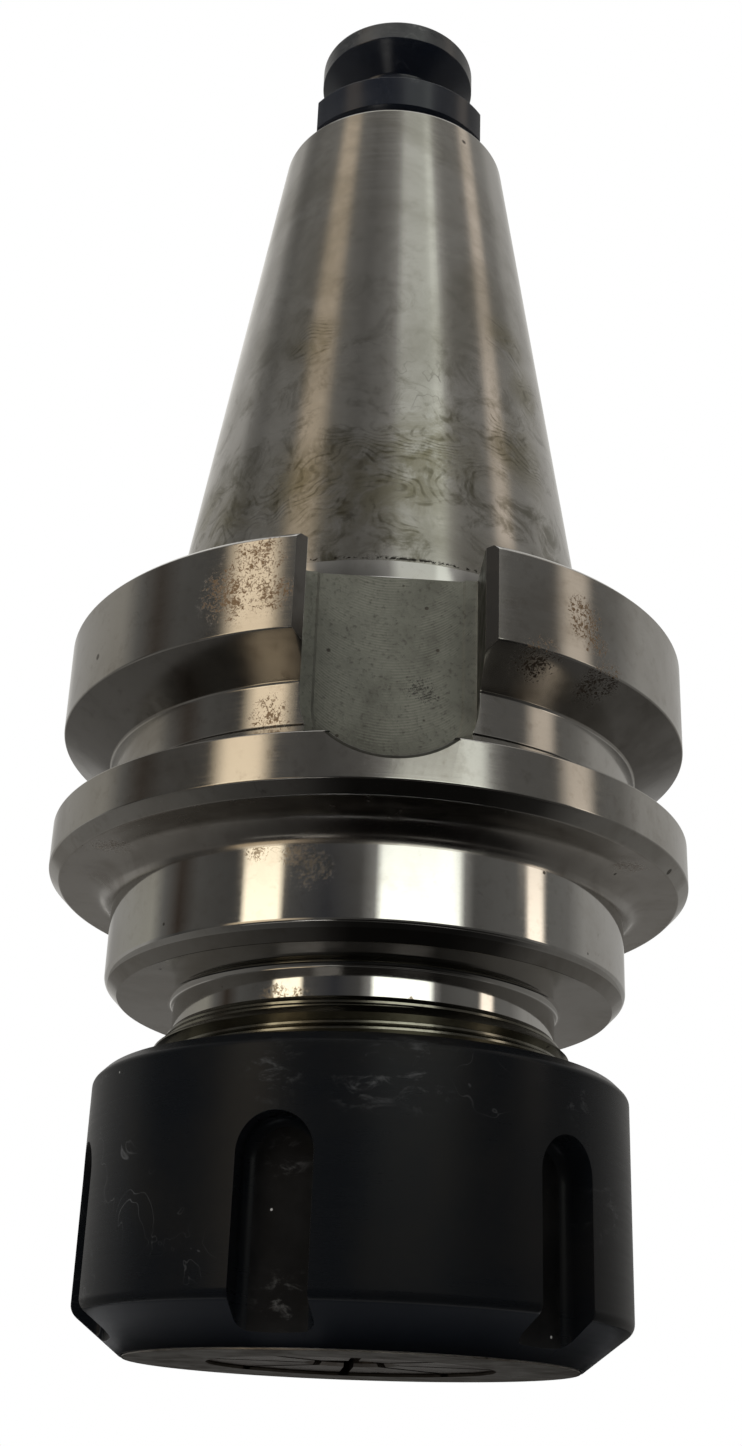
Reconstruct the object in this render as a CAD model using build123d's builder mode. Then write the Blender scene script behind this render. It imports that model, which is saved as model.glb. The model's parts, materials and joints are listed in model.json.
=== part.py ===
from build123d import *
from math import cos, pi, radians, sin, sqrt, tan
import os

# Collet chuck holder with a 7:24 taper shank. Millimetres.
# The origin is at the centre of the nut's face, and +Z runs up the axis to the pull stud.

# Clamping nut
nut_wall = 4.85
nut_height = 24.6
nut_top_chamfer = 1.0
nut_face_chamfer_height = 3.6
nut_face_inset = 0.15
nut_face_lip = 0.2
nut_thread_mouth = 0.8
spanner_slot_count = 6
spanner_slot_width = 6.6
spanner_slot_depth = 3.3
spanner_slot_reach = 17.9
spanner_slot_azimuth = -18.6

# Thrust ring in the nut's face
ring_face_height = 2.6
ring_face_step = 1.0
ring_wall = 2.2
ring_relief = 0.7
ring_skirt = 1.85
ring_lip_gap = 0.35
ring_lip_offset = 0.5
ring_lip_clearance = 0.05

# Ball bearing between nut and ring
ball_diameter = 2.5
ball_count = 36
ball_clearance = 0.06
ball_rise = 3.6
plug_diameter = 3.0
plug_azimuth = 131.4
plug_recess = 0.25

# Collet
collet_length = 40.0
collet_shoulder_diameter = 33.0
collet_front_diameter = 26.2
collet_front_recess = 0.3
collet_front_height = 4.85
collet_front_angle = 30.0
collet_groove_height = 2.75
collet_groove_depth = 0.9
collet_shoulder_height = 0.5
collet_angle = 8.0
collet_bore = 8.0
collet_grip_length = 28.0
collet_relief_bore = 10.0
collet_slit_width = 0.9
collet_slits_per_end = 8
collet_front_web = 7.4
collet_rear_web = 6.0
collet_edge = 0.3

# Running clearances, on the radius
thread_clearance = 0.06
ring_clearance = 0.08
socket_clearance = 0.05
fixed_clearance = 0.04
nose_gap = 0.6

# Threaded nose and neck
nose_wall = 3.5
thread_depth = 0.92
nose_chamfer = 1.0
neck_undercut = 1.6
neck_length = 3.5
neck_fillet = 0.4

# Round body above the nut
nut_gap = 7.7
body_length = 10.7
body_chamfer = 1.3
body_root_fillet = 2.0

# Flange with the gripper's V groove
flange_diameter = 63.0
flange_overhang = 6.35
lower_rim_width = 5.4
groove_mouth = 10.0
groove_depth = 5.0
groove_flank_angle = 30.0
upper_rim_width = 9.6
flange_set_back = 2.0
upper_rim_chamfer = 0.5
lower_rim_chamfer = 1.1

# Drive key slots
key_slot_width = 16.1
key_slot_length = 21.6
key_slot_floor_step = 0.375
key_slot_corner = 1.6
key_slot_edge_chamfer = 1.0

# Taper shank
taper_gauge_diameter = 44.45
taper_ratio = 7 / 24
taper_length = 65.4
taper_end_chamfer = 1.5

# Bores inside the holder
socket_floor_gap = 2.0
socket_floor_ledge = 1.8
core_length = 11.3
drill_point_angle = 59.0
drawbar_core_diameter = 14.0
drawbar_thread_diameter = 16.0
drawbar_thread_depth = 30.0
drawbar_pilot_diameter = 17.0
drawbar_pilot_depth = 8.0

# Pull stud
stud_pilot_gap = 1.0
stud_end_gap = 3.0
stud_end_chamfer = 1.2
stud_collar_diameter = 23.6
stud_collar_height = 5.0
stud_collar_chamfer = 0.5
stud_flats = 19.3
stud_neck_diameter = 12.6
stud_neck_height = 5.4
stud_neck_fillet = 0.8
stud_head_diameter = 18.4
stud_head_height = 2.4
stud_head_chamfer = 0.8

# Collet stations, from the front face to the small end
collet_front_z = collet_front_recess
collet_land_z = collet_front_z + collet_front_height
collet_groove_z = collet_land_z + collet_groove_height
collet_cone_z = collet_groove_z + collet_shoulder_height
collet_end_z = collet_front_z + collet_length
collet_front_radius = collet_front_diameter / 2
collet_land_radius = collet_front_radius + collet_front_height * tan(radians(collet_front_angle))
collet_groove_radius = collet_land_radius - collet_groove_depth
collet_shoulder_radius = collet_shoulder_diameter / 2
collet_radius_loss = (collet_end_z - collet_cone_z) * tan(radians(collet_angle))
collet_end_radius = collet_shoulder_radius - collet_radius_loss

# Heights up the axis
ring_lip_z = collet_land_z + ring_lip_gap
ring_lip_height = collet_groove_height - 2 * ring_lip_gap
ring_lip_top_z = ring_lip_z + ring_lip_height
ring_height = ring_lip_top_z + ring_skirt
ball_height = ring_face_height + ball_rise
nose_z = ring_height + nose_gap
body_face_z = nut_height + nut_gap
thread_top_z = body_face_z - neck_length
flange_bottom_z = body_face_z + body_length
groove_bottom_z = flange_bottom_z + lower_rim_width
groove_top_z = groove_bottom_z + groove_mouth
flange_top_z = groove_top_z + upper_rim_width
gauge_z = flange_top_z + flange_set_back
taper_end_z = gauge_z + taper_length

# Radii
thread_major_radius = collet_shoulder_radius + nose_wall
nose_radius = thread_major_radius - thread_depth / 2
neck_radius = thread_major_radius - neck_undercut
ring_top_radius = collet_shoulder_radius + ring_relief
ring_body_radius = ring_top_radius + ring_wall
ring_face_radius = ring_body_radius + ring_face_step
nut_bore_radius = nose_radius + thread_clearance
nut_radius = ring_face_radius + nut_wall
flange_radius = flange_diameter / 2
body_radius = flange_radius - flange_overhang
groove_radius = flange_radius - groove_depth
gauge_radius = taper_gauge_diameter / 2
taper_end_radius = gauge_radius - taper_length * taper_ratio / 2
key_slot_floor = gauge_radius + key_slot_floor_step


def socket_radius(z):
    """Radius of the collet socket in the nose at a height on the axis."""
    drop = (z - collet_cone_z) * tan(radians(collet_angle))
    return collet_shoulder_radius + socket_clearance - drop


def radial_plane(azimuth, distance):
    """Plane facing away from the axis, with its local x level and its local y up."""
    outward = Vector(sin(radians(azimuth)), -cos(radians(azimuth)), 0)
    level = (cos(radians(azimuth)), sin(radians(azimuth)), 0)
    return Plane(origin=outward * distance, x_dir=level, z_dir=outward)


# Space cut away for the drive keys: a round end below, rounded floor corners and flared mouths
groove_slope = groove_depth * tan(radians(groove_flank_angle))
key_half_width = key_slot_width / 2
key_end_z = flange_top_z - key_slot_length + key_half_width
key_top_z = gauge_z
key_mouth = sqrt(flange_radius**2 - key_half_width**2)
flare_start = key_mouth - key_slot_edge_chamfer
flare_end = flange_radius + key_slot_edge_chamfer
flare_half_width = key_half_width + flare_end - flare_start
flare_z = groove_top_z - groove_slope

with BuildPart() as key_slots:
    for azimuth in (0, 180):
        with BuildSketch(radial_plane(azimuth, key_slot_floor)):
            with Locations((0, key_end_z)):
                Circle(key_half_width)
                Rectangle(key_slot_width, key_top_z - key_end_z, align=(Align.CENTER, Align.MIN))
        extrude(amount=flange_radius)
    slot_floors = key_slots.faces().sort_by_distance((0, 0, key_end_z))[:2]
    fillet(slot_floors.edges(), key_slot_corner)
    for side in (-1, 1):
        with BuildSketch(Plane.XY.offset(flare_z)):
            Polygon(
                (-key_half_width, side * flare_start),
                (-flare_half_width, side * flare_end),
                (flare_half_width, side * flare_end),
                (key_half_width, side * flare_start),
                align=None,
            )
        extrude(amount=key_top_z - flare_z)

# Holder body: taper shank, flange, body, neck and nose in one turned piece
taper_edge_radius = taper_end_radius + taper_end_chamfer * taper_ratio / 2

with BuildPart() as holder_body:
    with BuildSketch(Plane.XZ):
        with BuildLine():
            Polyline(
                (neck_radius, body_face_z - neck_fillet),
                (neck_radius, thread_top_z),
                (nose_radius, thread_top_z - (nose_radius - neck_radius)),
                (nose_radius, nose_z + nose_chamfer),
                (nose_radius - nose_chamfer, nose_z),
                (0, nose_z),
                (0, taper_end_z),
                (taper_edge_radius - taper_end_chamfer, taper_end_z),
                (taper_edge_radius, taper_end_z - taper_end_chamfer),
                (gauge_radius, gauge_z),
                (gauge_radius, flange_top_z),
                (flange_radius - upper_rim_chamfer, flange_top_z),
                (flange_radius, flange_top_z - upper_rim_chamfer),
                (flange_radius, groove_top_z),
                (groove_radius, groove_top_z - groove_slope),
                (groove_radius, groove_bottom_z + groove_slope),
                (flange_radius, groove_bottom_z),
                (flange_radius, flange_bottom_z + lower_rim_chamfer),
                (flange_radius - lower_rim_chamfer, flange_bottom_z),
                (body_radius + body_root_fillet, flange_bottom_z),
            )
            root_centre = (body_radius + body_root_fillet, flange_bottom_z - body_root_fillet)
            CenterArc(root_centre, body_root_fillet, 90, 90)
            Polyline(
                (body_radius, flange_bottom_z - body_root_fillet),
                (body_radius, body_face_z + body_chamfer),
                (body_radius - body_chamfer, body_face_z),
                (neck_radius + neck_fillet, body_face_z),
            )
            neck_centre = (neck_radius + neck_fillet, body_face_z - neck_fillet)
            CenterArc(neck_centre, neck_fillet, 90, 90)
        make_face()
    revolve(axis=Axis.Z)

    # Collet socket, tool bore behind it, and the threaded hole for the pull stud
    socket_end_z = collet_end_z + socket_floor_gap
    tool_bore_radius = socket_radius(socket_end_z) - socket_floor_ledge
    core_radius = drawbar_core_diameter / 2
    drill_rise = (tool_bore_radius - core_radius) / tan(radians(drill_point_angle))
    core_z = taper_end_z - drawbar_thread_depth - core_length
    thread_hole_radius = drawbar_thread_diameter / 2 + fixed_clearance
    pilot_hole_radius = drawbar_pilot_diameter / 2 + fixed_clearance
    with BuildSketch(Plane.XZ):
        with BuildLine():
            Polyline(
                (0, nose_z),
                (socket_radius(nose_z), nose_z),
                (socket_radius(socket_end_z), socket_end_z),
                (tool_bore_radius, socket_end_z),
                (tool_bore_radius, core_z - drill_rise),
                (core_radius, core_z),
                (core_radius, taper_end_z - drawbar_thread_depth),
                (thread_hole_radius, taper_end_z - drawbar_thread_depth),
                (thread_hole_radius, taper_end_z - drawbar_pilot_depth),
                (pilot_hole_radius, taper_end_z - drawbar_pilot_depth),
                (pilot_hole_radius, taper_end_z),
                (0, taper_end_z),
                close=True,
            )
        make_face()
    revolve(axis=Axis.Z, mode=Mode.SUBTRACT)

    add(key_slots.part, mode=Mode.SUBTRACT)
holder_body.part.label = "holder_body"

# Pull stud, screwed down until its collar seats on the taper's small end
collar_top_z = taper_end_z + stud_collar_height
neck_top_z = collar_top_z + stud_neck_height
stud_head_radius = stud_head_diameter / 2
stud_neck_radius = stud_neck_diameter / 2
head_bottom_z = neck_top_z + stud_head_radius - stud_neck_radius
head_edge_z = head_bottom_z + stud_head_height
stud_pilot_z = taper_end_z - drawbar_pilot_depth + stud_pilot_gap
stud_end_z = taper_end_z - drawbar_thread_depth + stud_end_gap
stud_collar_radius = stud_collar_diameter / 2

with BuildPart() as pull_stud:
    with BuildSketch(Plane.XZ):
        with BuildLine():
            fillet_centre = (stud_neck_radius + stud_neck_fillet, collar_top_z + stud_neck_fillet)
            CenterArc(fillet_centre, stud_neck_fillet, 180, 90)
            Polyline(
                (stud_neck_radius + stud_neck_fillet, collar_top_z),
                (stud_collar_radius - stud_collar_chamfer, collar_top_z),
                (stud_collar_radius, collar_top_z - stud_collar_chamfer),
                (stud_collar_radius, taper_end_z + stud_collar_chamfer),
                (stud_collar_radius - stud_collar_chamfer, taper_end_z),
                (drawbar_pilot_diameter / 2, taper_end_z),
                (drawbar_pilot_diameter / 2, stud_pilot_z),
                (drawbar_thread_diameter / 2, stud_pilot_z),
                (drawbar_thread_diameter / 2, stud_end_z + stud_end_chamfer),
                (drawbar_thread_diameter / 2 - stud_end_chamfer, stud_end_z),
                (0, stud_end_z),
                (0, head_edge_z + stud_head_chamfer),
                (stud_head_radius - stud_head_chamfer, head_edge_z + stud_head_chamfer),
                (stud_head_radius, head_edge_z),
                (stud_head_radius, head_bottom_z),
                (stud_neck_radius, neck_top_z),
                (stud_neck_radius, collar_top_z + stud_neck_fillet),
            )
        make_face()
    revolve(axis=Axis.Z)
    for azimuth in (-90, 90):
        with BuildSketch(radial_plane(azimuth, stud_flats / 2)):
            with Locations((0, taper_end_z)):
                Rectangle(stud_collar_diameter, stud_collar_height, align=(Align.CENTER, Align.MIN))
        extrude(amount=stud_collar_radius, mode=Mode.SUBTRACT)
pull_stud.part.label = "pull_stud"

# Nut shell: threaded above, and bored in two steps below for the thrust ring
ball_radius = ball_diameter / 2
race_radius = ball_radius + ball_clearance
ball_pitch_radius = ring_body_radius + ring_clearance / 2
shell_face_radius = ring_face_radius + ring_clearance
shell_bore_radius = ring_body_radius + ring_clearance
slot_floor = nut_radius - spanner_slot_depth

with BuildPart() as nut_shell:
    with BuildSketch(Plane.XZ):
        with BuildLine():
            Polyline(
                (shell_face_radius, nut_face_inset),
                (shell_face_radius + nut_face_lip, nut_face_inset),
                (nut_radius, nut_face_chamfer_height),
                (nut_radius, nut_height - nut_top_chamfer),
                (nut_radius - nut_top_chamfer, nut_height),
                (nut_bore_radius + nut_thread_mouth, nut_height),
                (nut_bore_radius, nut_height - nut_thread_mouth),
                (nut_bore_radius, ring_height + ring_clearance),
                (shell_bore_radius, ring_height + ring_clearance),
                (shell_bore_radius, ring_face_height + ring_clearance),
                (shell_face_radius, ring_face_height + ring_clearance),
                close=True,
            )
        make_face()
    revolve(axis=Axis.Z)
    with BuildSketch(Plane.XZ):
        with Locations((ball_pitch_radius, ball_height)):
            Circle(race_radius)
    revolve(axis=Axis.Z, mode=Mode.SUBTRACT)
    slot_half_width = spanner_slot_width / 2
    slot_end_z = spanner_slot_reach - slot_half_width
    for index in range(spanner_slot_count):
        azimuth = spanner_slot_azimuth + index * 360 / spanner_slot_count
        with BuildSketch(radial_plane(azimuth, slot_floor)):
            with Locations((0, slot_end_z)):
                Circle(slot_half_width)
                Rectangle(spanner_slot_width, slot_end_z, align=(Align.CENTER, Align.MAX))
        extrude(amount=nut_radius, mode=Mode.SUBTRACT)
    with BuildSketch(radial_plane(plug_azimuth, ball_pitch_radius)):
        with Locations((0, ball_height)):
            Circle(plug_diameter / 2 + fixed_clearance)
    extrude(amount=nut_radius, mode=Mode.SUBTRACT)
nut_shell.part.label = "nut_shell"

# Plug that closes the ball filling hole
plug_start = ball_pitch_radius + race_radius + ball_clearance
plug_length = nut_radius - plug_recess - plug_start

with BuildPart() as ball_plug:
    with BuildSketch(radial_plane(plug_azimuth, plug_start)):
        with Locations((0, ball_height)):
            Circle(plug_diameter / 2)
    extrude(amount=plug_length)
ball_plug.part.label = "ball_plug"

# Balls, spaced evenly in the race between nut and ring
with BuildPart() as bearing_balls:
    with Locations((0, 0, ball_height)):
        with PolarLocations(ball_pitch_radius, ball_count):
            Sphere(ball_radius)
bearing_balls.part.label = "bearing_balls"

# Thrust ring: front cone that presses the collet in, and an eccentric lip that pulls it out
cone_slope = tan(radians(collet_front_angle))
ring_mouth_radius = collet_front_radius + socket_clearance - collet_front_z * cone_slope
ring_land_radius = ring_mouth_radius + ring_lip_z * cone_slope
lip_radius = collet_land_radius + ring_lip_clearance

with BuildPart() as thrust_ring:
    with BuildSketch(Plane.XZ):
        with BuildLine():
            Polyline(
                (ring_mouth_radius, 0),
                (ring_face_radius, 0),
                (ring_face_radius, ring_face_height),
                (ring_body_radius, ring_face_height),
                (ring_body_radius, ring_height),
                (ring_top_radius, ring_height),
                (ring_top_radius, ring_lip_top_z),
                (collet_groove_radius, ring_lip_top_z),
                (collet_groove_radius, ring_lip_z),
                (ring_land_radius, ring_lip_z),
                close=True,
            )
        make_face()
    revolve(axis=Axis.Z)
    with BuildSketch(Plane.XY.offset(ring_lip_z)):
        with Locations((ring_lip_offset, 0)):
            Circle(lip_radius)
    extrude(amount=ring_lip_height, mode=Mode.SUBTRACT)
    with BuildSketch(Plane.XZ):
        with Locations((ball_pitch_radius, ball_height)):
            Circle(race_radius)
    revolve(axis=Axis.Z, mode=Mode.SUBTRACT)
thrust_ring.part.label = "thrust_ring"

# Collet: slit from both ends by turns, so that it closes evenly along its bore
collet_bore_radius = collet_bore / 2
relief_radius = collet_relief_bore / 2
grip_end_z = collet_front_z + collet_grip_length

with BuildPart() as collet:
    with BuildSketch(Plane.XZ):
        with BuildLine():
            Polyline(
                (collet_bore_radius, collet_front_z + collet_edge),
                (collet_bore_radius + collet_edge, collet_front_z),
                (collet_front_radius, collet_front_z),
                (collet_land_radius, collet_land_z),
                (collet_groove_radius, collet_land_z),
                (collet_groove_radius, collet_groove_z),
                (collet_shoulder_radius, collet_groove_z),
                (collet_shoulder_radius, collet_cone_z),
                (collet_end_radius, collet_end_z),
                (relief_radius, collet_end_z),
                (relief_radius, grip_end_z),
                (collet_bore_radius, grip_end_z),
                close=True,
            )
        make_face()
    revolve(axis=Axis.Z)
    half_count = collet_slits_per_end // 2
    half_turn = 180
    slit_pitch = 360 / collet_slits_per_end
    front_slit_length = collet_length - collet_rear_web
    rear_slit_length = collet_length - collet_front_web
    with BuildSketch(Plane.XY.offset(collet_front_z)):
        with PolarLocations(0, half_count, 0, half_turn):
            Rectangle(collet_shoulder_diameter, collet_slit_width)
    extrude(amount=front_slit_length, mode=Mode.SUBTRACT)
    with BuildSketch(Plane.XY.offset(collet_end_z)):
        with PolarLocations(0, half_count, slit_pitch / 2, half_turn):
            Rectangle(collet_shoulder_diameter, collet_slit_width)
    extrude(amount=-rear_slit_length, mode=Mode.SUBTRACT)
collet.part.label = "collet"

os.makedirs("parts", exist_ok=True)
export_step(holder_body.part, "parts/holder_body.step")
export_step(pull_stud.part, "parts/pull_stud.step")
export_step(nut_shell.part, "parts/nut_shell.step")
export_step(ball_plug.part, "parts/ball_plug.step")
export_step(bearing_balls.part, "parts/bearing_balls.step")
export_step(thrust_ring.part, "parts/thrust_ring.step")
export_step(collet.part, "parts/collet.step")
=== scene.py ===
import bpy
import json
import math
from mathutils import Matrix, Vector

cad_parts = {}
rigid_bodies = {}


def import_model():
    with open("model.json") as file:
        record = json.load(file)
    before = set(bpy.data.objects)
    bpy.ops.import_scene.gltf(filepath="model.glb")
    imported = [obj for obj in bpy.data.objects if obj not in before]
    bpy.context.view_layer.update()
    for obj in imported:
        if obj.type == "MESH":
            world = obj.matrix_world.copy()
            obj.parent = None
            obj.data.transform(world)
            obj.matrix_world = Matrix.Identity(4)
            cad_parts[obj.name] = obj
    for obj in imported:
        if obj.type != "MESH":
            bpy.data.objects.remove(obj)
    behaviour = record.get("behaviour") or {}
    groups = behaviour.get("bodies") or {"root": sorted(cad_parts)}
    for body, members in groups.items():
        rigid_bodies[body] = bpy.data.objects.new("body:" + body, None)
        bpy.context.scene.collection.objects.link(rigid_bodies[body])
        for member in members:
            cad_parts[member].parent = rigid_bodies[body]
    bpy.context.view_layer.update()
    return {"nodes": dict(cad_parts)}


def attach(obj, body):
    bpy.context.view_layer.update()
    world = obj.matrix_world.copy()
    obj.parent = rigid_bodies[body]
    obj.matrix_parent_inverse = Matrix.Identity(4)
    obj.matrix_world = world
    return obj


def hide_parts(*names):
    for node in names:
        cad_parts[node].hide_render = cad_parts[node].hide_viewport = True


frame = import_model()
mm = 0.001
print("frame loaded:", ", ".join(sorted(frame["nodes"])))


def pickNone():
    if bpy.context.object and bpy.context.object.mode != "OBJECT":
        bpy.ops.object.mode_set(mode="OBJECT")
    bpy.ops.object.select_all(action="DESELECT")


def pickOnly(piece):
    pickNone()
    piece.select_set(True)
    bpy.context.view_layer.objects.active = piece


def pickWhere(piece, test, kind="vertices"):
    # the vertices that pass the test, or the edges whose two ends both pass
    vertices = piece.data.vertices
    for group in (piece.data.polygons, piece.data.edges, vertices):
        group.foreach_set("select", [False] * len(group))
    if kind == "vertices":
        for vertex in vertices:
            vertex.select = test(vertex.co)
    else:
        for edge in piece.data.edges:
            edge.select = all(test(vertices[end].co) for end in edge.vertices)
            if edge.select:
                for end in edge.vertices:
                    vertices[end].select = True


def settled(name):
    # the shape just added, named, with its place and size moved into its mesh
    piece = bpy.context.object
    piece.name = piece.data.name = name
    bpy.ops.object.transform_apply(location=True, rotation=True, scale=True)
    return piece


def block(name, middle, size):
    pickNone()
    bpy.ops.mesh.primitive_cube_add(size=1, location=[number * mm for number in middle],
                                    scale=[number * mm for number in size])
    return settled(name)


def firstPoint(name, x, z):
    # one vertex in the XZ plane, left in edit mode so that an outline can be drawn on from it
    pickNone()
    bpy.ops.mesh.primitive_plane_add(size=mm)
    piece = bpy.context.object
    piece.name = piece.data.name = name
    bpy.ops.object.mode_set(mode="EDIT")
    bpy.ops.mesh.select_all(action="SELECT")
    bpy.ops.mesh.merge(type="CENTER")
    bpy.ops.transform.translate(value=(x, 0, z))
    return piece


def drawOn(steps):
    for x, z in steps:
        bpy.ops.mesh.extrude_region_move(TRANSFORM_OT_translate={"value": (x, 0, z)})


def softened(corners, steps=5):
    # outline of (radius, height) corners in mm, rounded where a corner has a third number
    path = []
    for i, corner in enumerate(corners):
        here = Vector(corner[:2])
        if len(corner) < 3:
            path.append(here)
            continue
        before = (Vector(corners[i - 1][:2]) - here).normalized()
        after = (Vector(corners[(i + 1) % len(corners)][:2]) - here).normalized()
        half = before.angle(after) / 2
        centre = here + (before + after).normalized() * corner[2] / math.sin(half)
        first = here + before * corner[2] / math.tan(half) - centre
        last = here + after * corner[2] / math.tan(half) - centre
        for k in range(steps + 1):
            spoke = first.lerp(last, k / steps).normalized() * corner[2]
            path.append(centre + spoke)
    return path


def turned(name, corners, steps=240, closed=True):
    # an outline drawn vertex by vertex, then spun round the axis
    path = [point * mm for point in softened(corners)]
    piece = firstPoint(name, path[0].x, path[0].y)
    runs = list(zip(path, path[1:])) + ([(path[-1], path[0])] if closed else [])
    drawOn([(b.x - a.x, b.y - a.y) for a, b in runs])
    bpy.ops.mesh.select_all(action="SELECT")
    bpy.ops.mesh.remove_doubles(threshold=1e-7)
    bpy.ops.mesh.spin(steps=steps, angle=2 * math.pi, center=(0, 0, 0), axis=(0, 0, 1))
    bpy.ops.mesh.select_all(action="SELECT")
    bpy.ops.mesh.remove_doubles(threshold=1e-6)
    bpy.ops.mesh.normals_make_consistent(inside=False)
    bpy.ops.object.mode_set(mode="OBJECT")
    return piece


def bevelPicked(width, segments):
    bpy.ops.object.mode_set(mode="EDIT")
    bpy.ops.mesh.select_mode(type="EDGE")
    bpy.ops.mesh.bevel(offset=width * mm, segments=segments, affect="EDGES")
    bpy.ops.mesh.select_mode(type="VERT")
    bpy.ops.object.mode_set(mode="OBJECT")


def slotCutter(name, plan):
    # a round-ended block in front of the axis: a disc pulled into a stadium, then drawn outward
    endZ, ledges = plan["endZ"] * mm, plan.get("ledges", ())
    innerAt = plan["floorAt"] + sum(rise for width, rise in ledges)
    away = 1 if plan["openZ"] > plan["endZ"] else -1
    pickNone()
    bpy.ops.mesh.primitive_circle_add(vertices=96, radius=plan["halfWidth"] * mm, fill_type="NGON",
                                      location=(0, -innerAt * mm, endZ), rotation=(math.pi / 2, 0, 0))
    cutter = settled(name)
    pickWhere(cutter, lambda co: (co.z - endZ) * away > 1e-7)
    bpy.ops.object.mode_set(mode="EDIT")
    bpy.ops.transform.translate(value=(0, 0, (plan["openZ"] - plan["endZ"]) * mm))
    bpy.ops.mesh.select_all(action="SELECT")
    outward = (0, -(plan["outerAt"] - innerAt) * mm, 0)
    bpy.ops.mesh.extrude_region_move(TRANSFORM_OT_translate={"value": outward})
    bpy.ops.mesh.select_all(action="SELECT")
    bpy.ops.mesh.normals_make_consistent(inside=False)
    bpy.ops.object.mode_set(mode="OBJECT")
    if "corner" in plan:
        pickWhere(cutter, lambda co: abs(co.y + innerAt * mm) < 1e-6, "edges")
        bevelPicked(plan["corner"], 6)
    if ledges:
        pickWhere(cutter, lambda co: abs(co.y + innerAt * mm) < 1e-6)
        bpy.ops.object.mode_set(mode="EDIT")
        bpy.ops.mesh.select_mode(type="FACE")
        for width, rise in ledges:
            bpy.ops.mesh.inset(thickness=width * mm, depth=rise * mm)
        bpy.ops.mesh.select_mode(type="VERT")
        bpy.ops.object.mode_set(mode="OBJECT")
    return cutter


def turnedCopy(piece, azimuth):
    # a copy turned round the axis: 0 stays in front, and 90 is on the +X side
    pickOnly(piece)
    bpy.ops.object.duplicate()
    copy = bpy.context.object
    copy.matrix_world = Matrix.Rotation(math.radians(azimuth), 4, "Z")
    bpy.ops.object.transform_apply(location=True, rotation=True, scale=True)
    return copy


def cutAway(piece, cutters, kind="DIFFERENCE"):
    for cutter in cutters:
        pickOnly(piece)
        cut = piece.modifiers.new("cut", "BOOLEAN")
        cut.operation = kind
        cut.solver = "EXACT"
        cut.object = cutter
        bpy.ops.object.modifier_apply(modifier=cut.name)
        bpy.data.objects.remove(cutter, do_unlink=True)


def roundEdges(piece, width, material=-1):
    pickOnly(piece)
    bevel = piece.modifiers.new("edges", "BEVEL")
    bevel.limit_method = "ANGLE"
    bevel.angle_limit = math.radians(38)
    bevel.width = width * mm
    bevel.segments = 2
    bevel.use_clamp_overlap = True
    bevel.material = material
    bpy.ops.object.modifier_apply(modifier=bevel.name)


def smooth(piece, angle=32):
    pickOnly(piece)
    bpy.ops.object.shade_smooth_by_angle(angle=math.radians(angle))
    even = piece.modifiers.new("even", "WEIGHTED_NORMAL")
    even.keep_sharp = True
    bpy.ops.object.modifier_apply(modifier=even.name)


def dress(piece, *materials):
    piece.data.materials.clear()
    for material in materials:
        piece.data.materials.append(material)


shot = {
    "place": (-8.384, -163.562, -9.451),
    "aim": (-0.3364, 0.0173, 63.053),
    "roll": 0.0373004,
    "lens": 42.767,
}
pickNone()
bpy.ops.object.camera_add()
camera = bpy.context.object
camera.name = "camera"
place = Vector(shot["place"]) * mm
ahead = (Vector(shot["aim"]) * mm - place).normalized()
right = ahead.cross(Vector((0, 0, 1))).normalized()
upward = right.cross(ahead)
rolledRight = right * math.cos(shot["roll"]) + upward * math.sin(shot["roll"])
rolledUp = upward * math.cos(shot["roll"]) - right * math.sin(shot["roll"])
turn = Matrix((rolledRight, rolledUp, -ahead)).transposed().to_4x4()
camera.matrix_world = Matrix.Translation(place) @ turn
camera.data.sensor_fit = "AUTO"
camera.data.sensor_width = 36
camera.data.lens = shot["lens"]
camera.data.clip_start = 0.005
camera.data.clip_end = 20
bpy.context.scene.camera = camera
print("camera placed")


body = {
    "mouth": 16.325,
    "nose": 18.85,
    "noseZ": (10.0, 28.6),
    "neck": 18.4,
    "neckZ": 29.1,
    "neckFillet": 0.7,
    "radius": 25.15,
    "faceZ": 32.3,
    "chamfer": 1.3,
    "chamferRound": 1.1,
    "rootFillet": 2.4,
    "rim": 31.5,
    "rimZ": (43.0, 68.0),
    "rimBreaks": (1.1, 0.5),
    "grooveFloor": 26.5,
    "grooveZ": (48.4, 51.287, 55.513, 58.4),
    "gauge": 22.225,
    "gaugeZ": 70.0,
    "smallEnd": 11.406,
    "endZ": 135.4,
    "endBreak": 1.5,
    "inside": [(8.54, 135.4), (8.54, 127.4), (8.04, 127.4), (8.04, 105.4), (7.0, 105.4), (7.0, 94.1),
               (9.986, 92.3), (9.986, 42.3), (11.786, 42.3)],
    "slot": {"halfWidth": 8.05, "floorAt": 22.6, "endZ": 54.45, "openZ": 72.0, "outerAt": 36.0,
             "ledges": [(0.3, 0.12), (0.8, 0.02), (0.25, 0.26)], "edge": 0.42},
    "flare": {"at": 30.65, "middleZ": 62.755, "depth": 3.046, "height": 14.49, "widths": (16.1, 22.192)},
    "edge": 0.12,
    "edgeSlot": 9,
}
radius, chamfer, rim, slot = body["radius"], body["chamfer"], body["rim"], body["slot"]
noseZ, noseEndZ = body["noseZ"]
lowZ, topZ = body["rimZ"]
lowBreak, topBreak = body["rimBreaks"]
g1, g2, g3, g4 = body["grooveZ"]
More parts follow.
